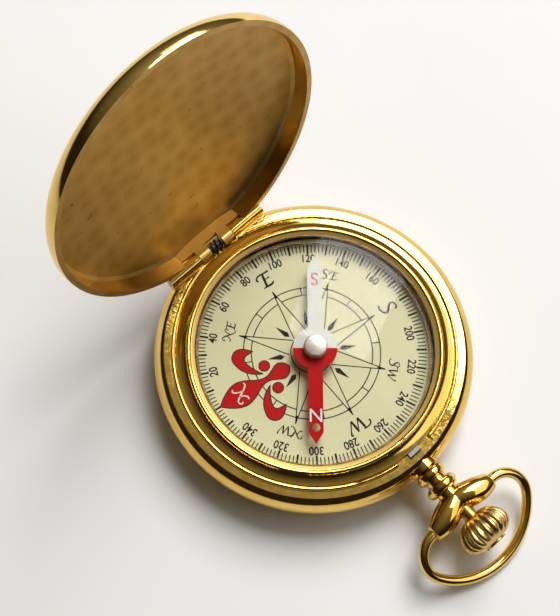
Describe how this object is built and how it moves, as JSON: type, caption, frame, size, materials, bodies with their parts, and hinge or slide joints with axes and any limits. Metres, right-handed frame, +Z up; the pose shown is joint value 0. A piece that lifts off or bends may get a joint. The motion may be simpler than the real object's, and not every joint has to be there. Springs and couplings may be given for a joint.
{
  "type": "pocket compass",
  "caption": "Pocket compass in a round gold hunter case with an open hinged lid, domed crystal, printed dial with a turning needle, push crown and swinging bow.",
  "frame": {"origin": "middle of the flat on the case back, on which the compass rests", "axes": "+Z up through the dial, -Y towards the pendant, +Y towards the lid's hinge, +X along the hinge pin"},
  "size_m": [0.0466, 0.074, 0.0511],
  "materials": {
    "case_gold": "polished gold plate",
    "lid_gold": "gold plate, brushed inside",
    "crown_gold": "polished pale gold plate",
    "steel": "satin",
    "pan_metal": "satin",
    "dial_print": "printed card",
    "needle_paint": "red and white enamel",
    "cap_metal": "satin",
    "clear": "clear",
    "seal": "matt"
  },
  "bodies": {
    "case": {"case_band": "case_gold", "case_back": "case_gold", "bezel_ring": "case_gold", "crystal": "clear", "crystal_gasket": "seal", "compass_pan": "pan_metal", "dial_card": "dial_print", "pivot_post": "pan_metal", "pivot_pin": "steel", "pendant": "case_gold", "case_hinge_leaf": "case_gold", "hinge_pin": "steel", "hinge_spring": "steel", "catch_screw": "steel"},
    "lid": {"lid_shell": "lid_gold", "lid_hinge_leaf": "lid_gold"},
    "needle": {"needle_blade": "needle_paint", "needle_cap": "cap_metal", "jewel_cup": "clear"},
    "crown": {"crown": "crown_gold", "crown_button": "crown_gold", "crown_stem": "crown_gold", "stem_collar": "steel"},
    "bow": {"bow": "case_gold"},
    "catch": {"catch_spring": "steel"}
  },
  "joints": [
    {"name": "lid_hinge", "type": "hinge", "parent": "case", "child": "lid", "pos_m": [0, 0.0214, 0.0086], "axis": [1, 0, 0], "range_deg": [0, 102.5], "stiffness_Nm_per_rad": 0.0015, "springref_deg": -28.65, "deforming": ["hinge_spring"]},
    {"name": "crown_press", "type": "slide", "parent": "case", "child": "crown", "axis": [0, 1, 0], "range_m": [0, 0.0005], "stiffness_N_per_m": 1500, "springref_m": -0.0002},
    {"name": "catch_swing", "type": "hinge", "parent": "case", "child": "catch", "pos_m": [0.01563, -0.00903, 0.0058], "axis": [0, 0, 1], "range_deg": [-2, 0]},
    {"name": "bow_swing", "type": "hinge", "parent": "case", "child": "bow", "pos_m": [0, -0.0304, 0.0058], "axis": [1, 0, 0], "range_deg": [-149, 90]},
    {"name": "needle_spin", "type": "hinge", "parent": "case", "child": "needle", "pos_m": [0, 0, 0.00885], "axis": [0, 0, 1], "continuous": true}
  ],
  "couplings": [
    {"joint": "catch_swing", "follows": "crown_press", "rad_per_m": -63.972}
  ]
}
